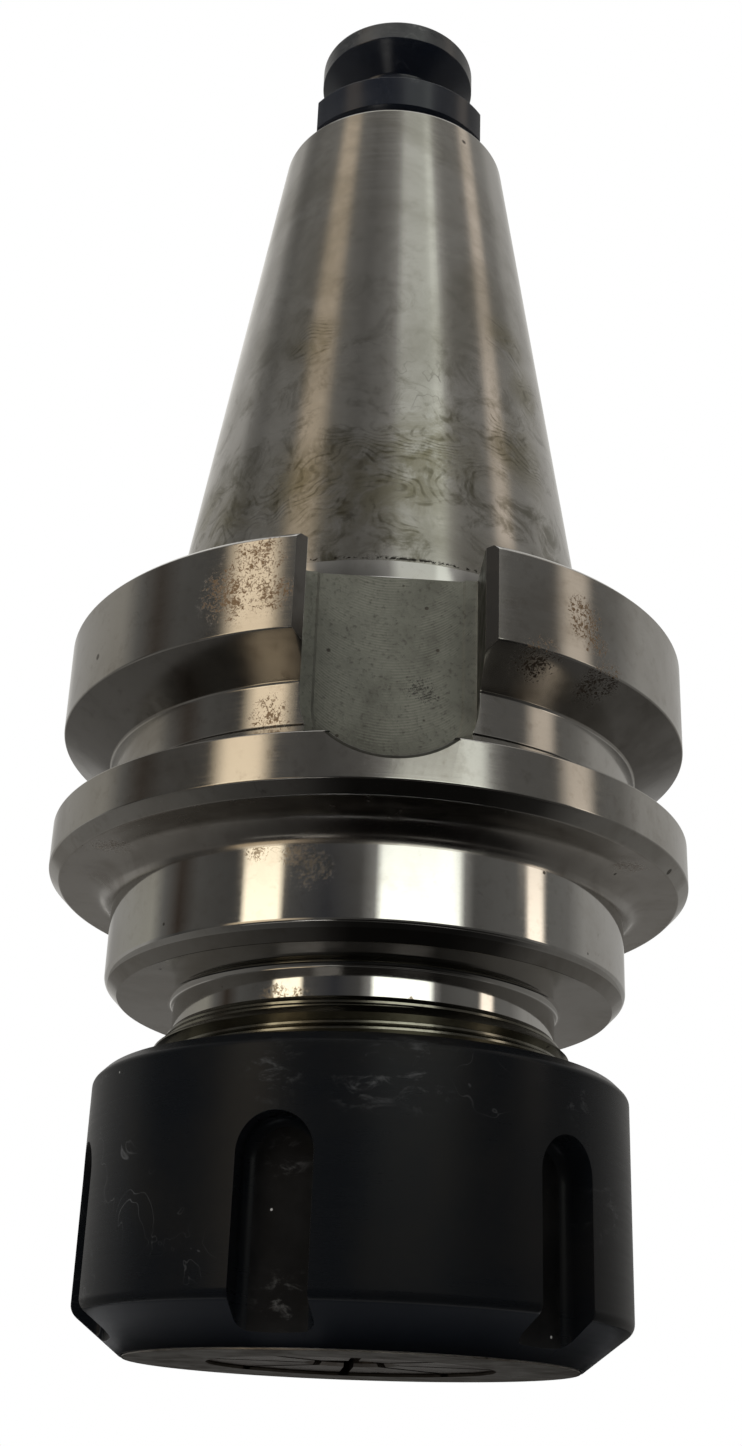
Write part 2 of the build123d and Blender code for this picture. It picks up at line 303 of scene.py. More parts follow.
bodyOutline = [
    (body["mouth"], noseZ, 0.1), (body["nose"], noseZ, 0.15), (body["nose"], noseEndZ),
    (body["neck"], body["neckZ"]), (body["neck"], body["faceZ"], body["neckFillet"]),
    (radius - chamfer, body["faceZ"], 0.12), (radius, body["faceZ"] + chamfer, body["chamferRound"]),
    (radius, lowZ, body["rootFillet"]), (rim - lowBreak, lowZ, 0.4), (rim, lowZ + lowBreak, 0.4),
    (rim, g1, 0.22), (body["grooveFloor"], g2, 0.35), (body["grooveFloor"], g3, 0.35), (rim, g4, 0.22),
    (rim, topZ - topBreak, 0.2), (rim - topBreak, topZ, 0.2),
    (body["gauge"], topZ, 0.35), (body["gauge"], body["gaugeZ"]),
    (body["smallEnd"] + body["endBreak"], body["endZ"] - body["endBreak"], 0.5),
    (body["smallEnd"], body["endZ"], 0.2), *body["inside"],
]
holderBody = turned("holder", bodyOutline)
keySlot = slotCutter("keySlot", slot)
flare = body["flare"]
narrow, wide = flare["widths"]
wedge = block("wedge", (0, -flare["at"], flare["middleZ"]), (wide, flare["depth"], flare["height"]))
pickWhere(wedge, lambda co: co.y > -flare["at"] * mm)
bpy.ops.object.mode_set(mode="EDIT")
bpy.ops.transform.resize(value=(narrow / wide, 1, 1), center_override=(0, 0, 0))
bpy.ops.object.mode_set(mode="OBJECT")
cutAway(holderBody, [turnedCopy(keySlot, 180), turnedCopy(wedge, 180), keySlot, wedge])


def onRoundEnd(co):
    # on the rim below the groove, where a slot's round end comes out
    fromEnd = math.hypot(co.x, co.z - slot["endZ"] * mm)
    onRim = math.hypot(co.x, co.y) > (rim - 0.05) * mm and co.z < g1 * mm
    return onRim and abs(fromEnd - slot["halfWidth"] * mm) < 2e-5


# the broken edges round the slots' round ends are made wide, so that they can carry a near-black painted shadow
pickWhere(holderBody, onRoundEnd, "edges")
bevelPicked(slot["edge"], 2)
# the slots are empty until the finishes are made, and the last one marks the worn edges
dress(holderBody, *[None] * (body["edgeSlot"] + 1))
roundEdges(holderBody, body["edge"], material=body["edgeSlot"])
smooth(holderBody)
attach(holderBody, "holder")
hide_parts("holder_body")
print("holder body:", len(holderBody.data.polygons), "faces")


thread = {
    "pitch": 1.5,
    "root": 19.08,
    "crest": 20.0,
    "turns": 14,
    "startZ": 9.0,
    "trimZ": (10.6, 28.75),
    "sleeve": [(18.3, 10.3), (18.9, 10.3), (20.05, 11.45), (20.05, 27.2), (18.45, 28.8), (18.3, 28.8)],
}
pitch, rise = thread["pitch"] * mm, (thread["crest"] - thread["root"]) * mm
noseThread = firstPoint("nose_thread", thread["root"] * mm, thread["startZ"] * mm)
drawOn([(0, pitch / 8), (rise, pitch * 3 / 8), (0, pitch / 8), (-rise, pitch * 3 / 8)])
bpy.ops.object.mode_set(mode="OBJECT")
helix = noseThread.modifiers.new("helix", "SCREW")
helix.axis = "Z"
helix.angle = 2 * math.pi
helix.screw_offset = pitch
helix.iterations = thread["turns"]
helix.steps = helix.render_steps = 144
helix.use_merge_vertices = True
helix.merge_threshold = 1e-6
bpy.ops.object.modifier_apply(modifier=helix.name)
bpy.ops.object.mode_set(mode="EDIT")
bpy.ops.mesh.select_all(action="SELECT")
bpy.ops.mesh.remove_doubles(threshold=2e-6)
for level, side in zip(thread["trimZ"], ("clear_inner", "clear_outer")):
    bpy.ops.mesh.select_all(action="SELECT")
    bpy.ops.mesh.bisect(plane_co=(0, 0, level * mm), plane_no=(0, 0, 1), use_fill=True, **{side: True})
bpy.ops.mesh.select_all(action="SELECT")
bpy.ops.mesh.normals_make_consistent(inside=False)
bpy.ops.object.mode_set(mode="OBJECT")
cutAway(noseThread, [turned("sleeve", thread["sleeve"], steps=144)], "INTERSECT")
# drops a face that the helix makes twice where its ends were merged
noseThread.data.validate()
smooth(noseThread, 30)
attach(noseThread, "holder")
print("nose thread:", len(noseThread.data.polygons), "faces")


stud = {
    "outline": [
        (0, 108.4), (6.8, 108.4), (8.0, 109.6), (8.0, 128.4), (8.5, 128.4), (8.5, 135.4),
        (11.3, 135.4, 0.12), (11.8, 135.9, 0.12), (11.8, 139.9, 0.12), (11.3, 140.4, 0.12),
        (6.3, 140.4, 0.8), (6.3, 145.8, 0.6), (9.2, 148.7, 0.25), (9.2, 151.1, 0.3),
        (8.4, 151.9, 0.4), (0, 151.9),
    ],
    "flatAt": 9.65,
    "flatZ": 137.9,
    "flatCut": (4.0, 26.0, 7.0),
    "edge": 0.15,
}
pullStud = turned("stud", stud["outline"], steps=160, closed=False)
flatMiddle = stud["flatAt"] + stud["flatCut"][0] / 2
cutAway(pullStud, [block("flat", (side * flatMiddle, 0, stud["flatZ"]), stud["flatCut"]) for side in (-1, 1)])
roundEdges(pullStud, stud["edge"])
smooth(pullStud)
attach(pullStud, "holder")
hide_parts("pull_stud")
print("pull stud:", len(pullStud.data.polygons), "faces")


nut = {
    "radius": 25.25,
    "height": 24.6,
    "bore": 20.08,
    "mouth": 20.6,
    "mouthZ": 24.0,
    "ringBore": 19.48,
    "ringZ": (2.68, 9.48),
    "raceAt": (19.44, 6.2),
    "raceRadius": 1.31,
    "face": (20.48, 20.68),
    "faceZ": 0.15,
    "chamferZ": 3.6,
    "chamferRound": 1.3,
    "backBreak": 1.0,
    "slots": 6,
    "slotAzimuth": -18.6,
    "slot": {"halfWidth": 3.3, "floorAt": 21.95, "endZ": 14.6, "openZ": -4.0, "outerAt": 28.0, "corner": 1.0},
    "edge": 0.2,
}
raceR, raceZ = nut["raceAt"]
race = [(raceR + nut["raceRadius"] * math.cos(a), raceZ + nut["raceRadius"] * math.sin(a))
        for a in (math.radians(degrees) for degrees in range(85, -86, -17))]
ringLow, ringTop = nut["ringZ"]
faceInner, faceOuter = nut["face"]
nutOutline = [
    (nut["ringBore"], ringTop), *race, (nut["ringBore"], ringLow), (faceInner, ringLow),
    (faceInner, nut["faceZ"], 0.08), (faceOuter, nut["faceZ"], 0.08),
    (nut["radius"], nut["chamferZ"], nut["chamferRound"]), (nut["radius"], nut["height"] - nut["backBreak"], 0.7),
    (nut["radius"] - nut["backBreak"], nut["height"], 0.7), (nut["mouth"], nut["height"], 0.15),
    (nut["bore"], nut["mouthZ"]), (nut["bore"], ringTop),
]
nutShell = turned("nut", nutOutline)
slotTurns = [nut["slotAzimuth"] + 360 / nut["slots"] * i for i in range(nut["slots"])]
nutSlot = slotCutter("nutSlot", nut["slot"])
cutAway(nutShell, [turnedCopy(nutSlot, azimuth) for azimuth in slotTurns])
bpy.data.objects.remove(nutSlot, do_unlink=True)
roundEdges(nutShell, nut["edge"])
smooth(nutShell)
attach(nutShell, "nut")
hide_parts("nut_shell")
print("nut:", len(nutShell.data.polygons), "faces")


class Finish:
    # a material's node tree, with the few kinds of node that the finishes are mixed from
    def __init__(self, name):
        self.material = bpy.data.materials.new(name)
        self.material.use_nodes = True
        self.tree = self.material.node_tree
        self.shader = self.tree.nodes["Principled BSDF"]
        self.here = self.add("ShaderNodeTexCoord").outputs["Object"]

    def add(self, kind, **settings):
        node = self.tree.nodes.new(kind)
        for key, value in settings.items():
            setattr(node, key, value)
        return node

    def plug(self, value, socket):
        if isinstance(value, bpy.types.NodeSocket):
            self.tree.links.new(value, socket)
        elif isinstance(value, tuple) and len(value) == 3 and socket.type == "RGBA":
            socket.default_value = (*value, 1)
        else:
            socket.default_value = value

    def show(self, shader):
        self.plug(shader, self.tree.nodes["Material Output"].inputs["Surface"])

    def sums(self, kind, first, second=0.0, clamp=False):
        node = self.add("ShaderNodeMath", operation=kind, use_clamp=clamp)
        self.plug(first, node.inputs[0])
        self.plug(second, node.inputs[1])
        return node.outputs[0]

    def plus(self, first, second, clamp=False):
        return self.sums("ADD", first, second, clamp)

    def times(self, first, *others):
        for other in others:
            first = self.sums("MULTIPLY", first, other)
        return first

    def axis(self, letter):
        parts = self.add("ShaderNodeSeparateXYZ")
        self.plug(self.here, parts.inputs[0])
        return parts.outputs[letter]

    def pull(self, scale, shift=(0, 0, 0)):
        node = self.add("ShaderNodeMapping")
        self.plug(self.here, node.inputs["Vector"])
        node.inputs["Scale"].default_value = scale
        node.inputs["Location"].default_value = shift
        return node.outputs[0]

    def noise(self, scale, detail=3.0, rough=0.55, twist=0.0, where=None):
        node = self.add("ShaderNodeTexNoise")
        self.plug(where or self.here, node.inputs["Vector"])
        node.inputs["Scale"].default_value = scale
        node.inputs["Detail"].default_value = detail
        node.inputs["Roughness"].default_value = rough
        node.inputs["Distortion"].default_value = twist
        return node.outputs["Fac"]

    def wave(self, scale, twist, detailScale, where):
        node = self.add("ShaderNodeTexWave", wave_type="BANDS", bands_direction="Z")
        self.plug(where, node.inputs["Vector"])
        node.inputs["Scale"].default_value = scale
        node.inputs["Distortion"].default_value = twist
        node.inputs["Detail"].default_value = 2
        node.inputs["Detail Scale"].default_value = detailScale
        return node.outputs["Fac"]

    def band(self, value, low, high, start=0.0, end=1.0, shape="SMOOTHSTEP"):
        # goes from start to end while the value goes from low to high
        node = self.add("ShaderNodeMapRange", interpolation_type=shape, clamp=True)
        self.plug(value, node.inputs["Value"])
        for name, number in (("From Min", low), ("From Max", high), ("To Min", start), ("To Max", end)):
            node.inputs[name].default_value = number
        return node.outputs[0]

    def ridge(self, value, width):
        # thin lines where a noise passes its middle value
        away = self.sums("ABSOLUTE", self.sums("SUBTRACT", value, 0.5))
        return self.band(away, 0.0, width, 1.0, 0.0)

    def mix(self, share, first, second):
        # inputs 6 and 7 and output 2 are the node's colour sockets
        node = self.add("ShaderNodeMix", data_type="RGBA", blend_type="MIX")
        self.plug(share, node.inputs["Factor"])
        self.plug(first, node.inputs[6])
        self.plug(second, node.inputs[7])
        return node.outputs[2]

    def spots(self, places):
        # soft balls round places in mm, 1 in the middle and 0 at each one's reach
        total = None
        for place, reach in places:
            node = self.add("ShaderNodeVectorMath", operation="DISTANCE")
            self.plug(self.here, node.inputs[0])
            node.inputs[1].default_value = tuple(number * mm for number in place)
            one = self.band(node.outputs["Value"], 0.0, reach * mm, 1.0, 0.0)
            total = one if total is None else self.sums("MAXIMUM", total, one)
        return total

    def specks(self, scale, size, rarity):
        # a dot in the cells whose random number is above the rarity
        node = self.add("ShaderNodeTexVoronoi")
        self.plug(self.here, node.inputs["Vector"])
        node.inputs["Scale"].default_value = scale
        dot = self.band(node.outputs["Distance"], size * 0.6, size, 1.0, 0.0)
        pick = self.add("ShaderNodeSeparateColor")
        self.plug(node.outputs["Color"], pick.inputs[0])
        return self.times(dot, self.band(pick.outputs[0], rarity, rarity + 0.01))

    def ramp(self, share, stops):
        node = self.add("ShaderNodeValToRGB")
        self.plug(share, node.inputs[0])
        while len(node.color_ramp.elements) < len(stops):
            node.color_ramp.elements.new(0.5)
        for element, (position, colour) in zip(node.color_ramp.elements, stops):
            element.position = position
            element.color = (*colour, 1)
        return node.outputs[0]

    def bumps(self, layers):
        last = None
        for height, depth in layers:
            node = self.add("ShaderNodeBump")
            self.plug(height, node.inputs["Height"])
            node.inputs["Distance"].default_value = depth * mm
            if last is not None:
                self.plug(last, node.inputs["Normal"])
            last = node.outputs[0]
        self.plug(last, self.shader.inputs["Normal"])

    def glow(self, colour, strength=1.0):
        # light of the surface's own in place of the shader
        self.tree.nodes.remove(self.shader)
        light = self.add("ShaderNodeEmission")
        self.plug(colour, light.inputs["Color"])
        self.plug(strength, light.inputs["Strength"])
        self.show(light.outputs[0])


def dirtied(f, look, colour):
    # blots that fade out between two heights
    clean, dirty = look["dirtyBelow"]
    low = f.band(f.axis("Z"), dirty * mm, clean * mm, 1.0, 0.0)
    blots = f.band(f.noise(look["blotScale"], detail=6, rough=0.7, twist=0.8), 0.47, 0.67)
    return f.mix(f.times(blots, low, 0.85), colour, look["blotColour"])


def smeared(f, look, colour, rough):
    # wavy smears in soft patches, with a veil of the same dirt round them
    wave = f.wave(260, twist=64, detailScale=0.5, where=f.pull((0.8, 0.8, 1)))
    near = f.spots(look["smears"])
    broad = f.band(f.noise(210, detail=4, rough=0.7, twist=1.0), 0.4, 0.6)
    fine = f.band(f.noise(900, detail=3, rough=0.6), 0.36, 0.58, 0.35, 1.0)
    lines = f.times(f.band(wave, 0.5, 1.0), f.times(f.band(near, 0.0, 0.6), broad, fine))
    veil = f.times(near, f.band(f.noise(150, detail=7, rough=0.75, twist=0.6), 0.36, 0.58))
    colour = f.mix(f.times(veil, 0.8), colour, look["veilColour"])
    colour = f.mix(f.times(lines, 0.64), colour, look["smearColour"])
    return colour, f.plus(rough, f.times(veil, 0.1))


def rusted(f, look, colour, rough, metal):
    # grains that lie closer together towards the middle of each spot
    near = f.spots(look["rust"])
    fine = f.times(f.noise(3600, detail=4, rough=0.7, twist=0.8), 0.7)
    coarse = f.times(f.noise(620, detail=5, rough=0.65), 0.3)
    grain = f.plus(f.plus(fine, coarse), f.times(near, 0.1))
    rust = f.times(f.band(grain, 0.555, 0.625), f.band(near, 0.0, 0.3), look["rustAmount"])
    colour = f.mix(rust, colour, look["rustColour"])
    return colour, f.plus(rough, f.times(rust, 0.22)), f.sums("SUBTRACT", metal, f.times(rust, metal * 0.3))


def milled(f, look, colour, grind):
    # the cutter's marks, arcs across the slot's floor
    reach, scale = look["arcs"]
    x = f.axis("X")
    sag = f.sums("SQRT", f.sums("SUBTRACT", (reach * mm) ** 2, f.times(x, x)))
    along = f.add("ShaderNodeCombineXYZ")
    f.plug(f.plus(f.axis("Z"), sag), along.inputs["Z"])
    f.plug(f.times(x, 0.3), along.inputs["X"])
    cut = f.band(f.wave(scale, twist=3, detailScale=1.2, where=along.outputs[0]), 0.2, 0.9)
    arcs = f.times(cut, f.band(f.noise(260, detail=4, rough=0.65), 0.4, 0.62))
    colour = f.mix(f.times(arcs, 0.32), colour, tuple(1.7 * n for n in look["colour"]))
    return colour, f.plus(grind, f.times(arcs, 0.35))


def ringed(f, look, colour, rough):
    # dirt left in a thin broken line round the shank, heavier in front
    low, high, middle = (number * mm for number in look["rustLine"])
    height = f.axis("Z")
    line = f.times(f.band(height, low, middle), f.band(height, middle, high, 1.0, 0.0))
    heavy = f.times(f.spots(look["rustLineHeavy"]), 0.12)
    broken = f.band(f.plus(f.noise(2300, detail=4, rough=0.65), heavy), 0.57, 0.61)
    dirt = f.times(line, broken)
    return f.mix(dirt, colour, (0.02, 0.018, 0.015)), f.plus(rough, f.times(dirt, 0.3))


def steel(name, look):
    f = Finish(name)
    f.shader.inputs["Specular IOR Level"].default_value = 0.5
    metal = look.get("metal", 1.0)
    cloud = f.band(f.noise(look["cloudScale"], detail=5, rough=0.6, twist=0.4), 0.42, 0.72)
    mottle = f.noise(look["mottleScale"], detail=5, rough=0.65)
    grind = f.noise(1.0, detail=4, rough=0.6, where=f.pull(look["grind"]))
    rough = f.plus(f.band(grind, 0.3, 0.7, *look["rough"]), f.times(cloud, look["cloudRough"]))
    colour = f.mix(f.times(cloud, look["cloud"]), look["colour"], look["stain"])
    colour = f.mix(f.band(mottle, 0.5, 0.75, 0.0, look["mottle"]), colour, look["stain"])
    if "dirtyBelow" in look:
        colour = dirtied(f, look, colour)
    if "smears" in look:
        colour, rough = smeared(f, look, colour, rough)
    if "rust" in look:
        colour, rough, metal = rusted(f, look, colour, rough, metal)
    if "arcs" in look:
        colour, grind = milled(f, look, colour, grind)
    if "rustLine" in look:
        colour, rough = ringed(f, look, colour, rough)
    # rare fine scratches and small pits over everything
    wearAndHighlights = f.ridge(f.noise(look["strokeScale"], detail=3, rough=0.5, twist=1.6), 0.007)
    rare = f.noise(look["strokeScale"] * 0.45, detail=2, where=f.pull((1, 1, 1), (0.3, 0.1, 0.7)))
    stroke = f.times(wearAndHighlights, f.band(rare, 0.6, 0.7), look["stroke"])
    pits = f.times(f.specks(look["pitScale"], 0.2, look["pitRarity"]), 0.85)
    dark = f.sums("MAXIMUM", stroke, pits)
    f.plug(f.mix(dark, colour, (0.06, 0.05, 0.04)), f.shader.inputs["Base Color"])
    f.plug(f.plus(rough, f.times(dark, 0.2), clamp=True), f.shader.inputs["Roughness"])
    f.plug(metal, f.shader.inputs["Metallic"])
    f.bumps([(grind, look["grindDepth"]), (f.sums("SUBTRACT", mottle, dark), look["mottleDepth"])])
    return f.material


def coat(piece, finish, test):
    # puts one of the piece's finishes on the faces whose middle and normal pass the test, in mm
    index = list(piece.data.materials).index(finish)
    for face in piece.data.polygons:
        x, y, z = (number / mm for number in face.center)
        if test(x, y, z, math.hypot(x, y), face.normal):
            face.material_index = index


taperLook = {
    "colour": (0.52, 0.505, 0.475), "stain": (0.25, 0.235, 0.195), "cloud": 0.7, "cloudScale": 48,
    "cloudRough": 0.05, "mottle": 0.3, "mottleScale": 260, "mottleDepth": 0.0012, "grind": (45, 45, 6500),
    "grindDepth": 0.0006, "rough": (0.105, 0.16), "strokeScale": 70, "stroke": 0.5, "pitScale": 420,
    "pitRarity": 0.985, "dirtyBelow": (124, 68), "blotScale": 210, "blotColour": (0.13, 0.12, 0.082),
    "smears": [((-2.0, -20.8, 79.0), 13), ((3.0, -20.4, 84.0), 10), ((-9.0, -18.5, 80.0), 8),
               ((-16.0, -13.5, 78.0), 8), ((-19.0, -9.0, 81.0), 6), ((13.0, -15.5, 88.0), 8),
               ((14.5, -11.5, 97.0), 6), ((12.0, -12.5, 103.0), 4.5), ((-8.0, -15.6, 99.0), 4.5),
               ((10.0, 18.0, 84.0), 11)],
    "smearColour": (0.09, 0.08, 0.045), "veilColour": (0.22, 0.2, 0.13), "rustLine": (69.95, 70.65, 70.3),
    "rustLineHeavy": [((1.0, -22.2, 70.3), 7)],
}
flangeLook = {
    "colour": (0.51, 0.495, 0.465), "stain": (0.25, 0.22, 0.18), "cloud": 0.5, "cloudScale": 70,
    "cloudRough": 0.04, "mottle": 0.3, "mottleScale": 700, "mottleDepth": 0.0008, "grind": (70, 70, 5200),
    "grindDepth": 0.0004, "rough": (0.08, 0.13), "strokeScale": 160, "stroke": 0.45, "pitScale": 480,
    "pitRarity": 0.975,
    "rust": [((-12.7, -28.8, 65.6), 4.2), ((-14.8, -27.8, 62.6), 4.2), ((-11.0, -29.5, 62.0), 3.0),
             ((17.4, -26.2, 62.9), 3.2), ((18.5, -25.5, 60.9), 2.4), ((12.7, -27.5, 57.7), 3.4),
             ((19.2, -23.5, 57.5), 3.6), ((-10.5, -24.3, 52.5), 2.8), ((-25.0, -19.0, 50.5), 3.0),
             ((9.0, 30.2, 62.0), 4.0), ((-24.0, 20.4, 46.0), 3.0)],
    "rustColour": (0.15, 0.09, 0.04), "rustAmount": 0.92,
}
polishedLook = {
    "colour": (0.6, 0.59, 0.565), "stain": (0.34, 0.3, 0.25), "cloud": 0.3, "cloudScale": 90,
    "cloudRough": 0.03, "mottle": 0.22, "mottleScale": 900, "mottleDepth": 0.0008, "grind": (120, 120, 6000),
    "grindDepth": 0.0004, "rough": (0.04, 0.075), "strokeScale": 240, "stroke": 0.4, "pitScale": 900,
    "pitRarity": 0.985,
    "rust": [((-7.4, -24.0, 40.2), 2.6), ((-6.2, -24.4, 38.4), 2.6), ((-10.9, -22.7, 40.6), 1.8),
             ((-8.8, -16.2, 28.9), 2.2), ((-6.5, -17.2, 28.8), 1.6), ((3.0, -18.2, 28.8), 1.0),
             ((-22.0, -12.0, 42.5), 2.2)],
    "rustColour": (0.22, 0.16, 0.09), "rustAmount": 0.75,
}
undersideLook = {
    "colour": (0.42, 0.4, 0.37), "stain": (0.2, 0.17, 0.14), "cloud": 0.65, "cloudScale": 80, "cloudRough": 0.1,
    "mottle": 0.35, "mottleScale": 420, "mottleDepth": 0.0012, "grind": (300, 300, 300), "grindDepth": 0.0005,
    "rough": (0.15, 0.24), "strokeScale": 150, "stroke": 0.5, "pitScale": 1000, "pitRarity": 0.975,
    "rust": [((-24.4, -14.2, 43.0), 2.8), ((23.2, -16.0, 43.0), 2.4), ((10.0, 26.0, 43.0), 3.0)],
    "rustColour": (0.2, 0.15, 0.11), "rustAmount": 0.6,
}
turnedLook = {
    "colour": (0.36, 0.345, 0.32), "stain": (0.2, 0.175, 0.14), "cloud": 0.5, "cloudScale": 90,
    "cloudRough": 0.06, "mottle": 0.3, "mottleScale": 520, "mottleDepth": 0.0015, "grind": (300, 300, 300),
    "grindDepth": 0.0005, "rough": (0.1, 0.15), "strokeScale": 230, "stroke": 0.2, "pitScale": 1100,
    "pitRarity": 0.985,
}
flankLook = {
    "colour": (0.24, 0.23, 0.215), "stain": (0.1, 0.09, 0.075), "cloud": 0.7, "cloudScale": 80,
    "cloudRough": 0.06, "mottle": 0.45, "mottleScale": 420, "mottleDepth": 0.0008, "grind": (300, 300, 300),
    "grindDepth": 0.0003, "rough": (0.13, 0.2), "strokeScale": 200, "stroke": 0.3, "pitScale": 500,
    "pitRarity": 0.975, "rust": [((12.7, -27.5, 57.7), 3.4), ((19.2, -23.5, 57.5), 3.6)],
    "rustColour": (0.03, 0.02, 0.012), "rustAmount": 1.0,
}
edgeLook = {
    "colour": (0.62, 0.61, 0.59), "stain": (0.4, 0.37, 0.33), "cloud": 0.5, "cloudScale": 300,
    "cloudRough": 0.1, "mottle": 0.3, "mottleScale": 900, "mottleDepth": 0.001, "grind": (400, 400, 400),
    "grindDepth": 0.001, "rough": (0.26, 0.4), "strokeScale": 300, "stroke": 0.3, "pitScale": 900,
    "pitRarity": 0.98,
}
slotLook = {
    "colour": (0.15, 0.149, 0.122), "stain": (0.068, 0.066, 0.052), "cloud": 0.55, "cloudScale": 170,
    "cloudRough": 0.05, "metal": 0.55, "mottle": 1.0, "mottleScale": 2400, "mottleDepth": 0.06,
    "grind": (900, 900, 900), "grindDepth": 0.008, "rough": (0.42, 0.55), "strokeScale": 300, "stroke": 0.3,
    "pitScale": 900, "pitRarity": 0.955, "rust": [((2.9, -22.6, 56.6), 1.9), ((3.6, -22.6, 56.0), 1.5)],
    "rustColour": (0.03, 0.028, 0.022), "rustAmount": 0.9, "arcs": (9.5, 1100),
}
# near-black steel: painted shade on the deep walls of the key slots, and a painted shadow along the broken edges
# round their round ends
slotWallPaintedShadeLook = {
    "colour": (0.07, 0.068, 0.06), "stain": (0.03, 0.028, 0.024), "cloud": 0.6, "cloudScale": 200,
    "cloudRough": 0.1, "mottle": 0.4, "mottleScale": 900, "mottleDepth": 0.006, "grind": (600, 600, 600),
    "grindDepth": 0.003, "rough": (0.35, 0.5), "strokeScale": 300, "stroke": 0.3, "pitScale": 900,
    "pitRarity": 0.98,
}
threadLook = {
    "colour": (0.25, 0.24, 0.2), "stain": (0.075, 0.069, 0.05), "cloud": 0.7, "cloudScale": 160,
    "cloudRough": 0.08, "mottle": 0.4, "mottleScale": 900, "mottleDepth": 0.003, "grind": (120, 120, 5000),
    "grindDepth": 0.001, "rough": (0.12, 0.2), "strokeScale": 300, "stroke": 0.4, "pitScale": 800,
    "pitRarity": 0.96,
}
faceLook = {
    "colour": (0.33, 0.305, 0.27), "stain": (0.16, 0.13, 0.1), "cloud": 0.7, "cloudScale": 150,
    "cloudRough": 0.1, "mottle": 0.4, "mottleScale": 700, "mottleDepth": 0.004, "grind": (500, 500, 500),
    "grindDepth": 0.002, "rough": (0.28, 0.42), "strokeScale": 250, "stroke": 0.6, "pitScale": 700,
    "pitRarity": 0.96,
}
colletLook = dict(faceLook, colour=(0.56, 0.52, 0.49), stain=(0.22, 0.18, 0.15), rough=(0.2, 0.32))
brightLook = {
    "colour": (0.58, 0.565, 0.54), "stain": (0.36, 0.33, 0.28), "cloud": 0.4, "cloudScale": 150,
    "cloudRough": 0.08, "mottle": 0.2, "mottleScale": 900, "mottleDepth": 0.001, "grind": (200, 200, 5000),
    "grindDepth": 0.0008, "rough": (0.12, 0.22), "strokeScale": 250, "stroke": 0.3, "pitScale": 800,
    "pitRarity": 0.985,
}
taperSteel, flangeSteel = steel("ground taper", taperLook), steel("ground flange", flangeLook)
polishedSteel, undersideSteel = steel("polished steel", polishedLook), steel("turned underside", undersideLook)
slotSteel, wallPaintedShadeSteel = steel("milled slot", slotLook), steel("slot wall painted shade", slotWallPaintedShadeLook)
threadSteel, faceTurnedSteel = steel("oily thread", threadLook), steel("turned face", turnedLook)
faceSteel, brightSteel = steel("bare face", faceLook), steel("bright steel", brightLook)
colletSteel = steel("collet steel", colletLook)
flankSteel, edgeSteel = steel("groove flank", flankLook), steel("worn steel edge", edgeLook)


def blackOxide(name, look):
    f = Finish(name)
    f.shader.inputs["Specular IOR Level"].default_value = look["gloss"]
    f.shader.inputs["Metallic"].default_value = 0.0
    cloud = f.noise(look["cloudScale"], detail=5, rough=0.6, twist=0.3)
    fine = f.noise(1.0, detail=4, rough=0.6, where=f.pull(look["grain"]))
    rough = f.band(f.plus(cloud, f.times(fine, 0.6)), 0.5, 1.1, *look["rough"])
    colour = f.mix(f.band(cloud, 0.4, 0.7), look["colour"], look["warm"])
    # lighter patches round the look's listed places, broken up by a noise: wear on the nut, painted highlights on
    # the stud
    worn = f.noise(1.0, detail=5, rough=0.7, twist=0.6, where=f.pull((420, 420, 900)))
    wearAndHighlight = f.times(f.spots(look["wearAndHighlights"]), f.band(worn, 0.52, 0.72))
    colour = f.mix(f.times(wearAndHighlight, look["wearAndHighlight"]), colour, look["wearAndHighlightColour"])
    rare = f.band(f.noise(60, detail=2, where=f.pull((1, 1, 1), (0.2, 0.6, 0.4))), 0.58, 0.7)
    scratch = f.times(f.ridge(f.noise(110, detail=2, rough=0.5, twist=2.2), 0.006), rare, look["scratch"])
    lint = f.sums("MAXIMUM", f.specks(260, 0.055, look["lintRarity"]), f.specks(640, 0.1, look["lintRarity"]))
    colour = f.mix(lint, f.mix(scratch, colour, look["wearAndHighlightColour"]), (0.3, 0.29, 0.27))
    f.plug(colour, f.shader.inputs["Base Color"])
    f.plug(f.plus(rough, f.times(wearAndHighlight, 0.15), clamp=True), f.shader.inputs["Roughness"])
    f.bumps([(fine, look["grainDepth"]), (f.plus(cloud, lint), 0.006)])
    return f.material


nutLook = {
    "colour": (0.003, 0.0036, 0.0045), "warm": (0.0052, 0.005, 0.0048), "gloss": 0.15, "rough": (0.25, 0.33),
    "cloudScale": 60, "grain": (130, 130, 2600), "grainDepth": 0.0009, "wearAndHighlight": 0.8,
    "wearAndHighlightColour": (0.05, 0.05, 0.049),
    "wearAndHighlights": [((-0.6, -25.2, 20.9), 4.5), ((3.5, -25.0, 21.2), 4.5), ((-8.5, -23.8, 20.9), 3.5),
               ((21.0, -14.0, 12.0), 5.0), ((18.0, -17.7, 20.5), 3.0), ((-6.0, 24.5, 8.0), 6.0)],
    "scratch": 0.8, "lintRarity": 0.986,
}
nutChamferLook = dict(nutLook, gloss=0.06, rough=(0.34, 0.44), colour=(0.003, 0.004, 0.006),
                      warm=(0.0042, 0.0054, 0.0078))
slotFloorLook = {
    "colour": (0.0028, 0.0028, 0.0028), "warm": (0.0058, 0.0055, 0.0052), "gloss": 0.1, "rough": (0.4, 0.6),
    "cloudScale": 220, "grain": (900, 900, 900), "grainDepth": 0.004, "wearAndHighlight": 0.7,
    "wearAndHighlightColour": (0.075, 0.072, 0.066), "wearAndHighlights": [((-6.6, -21.0, 3.5), 3.5), ((-6.8, -20.9, 14.5), 2.6)],
    "scratch": 0.5, "lintRarity": 0.93,
}
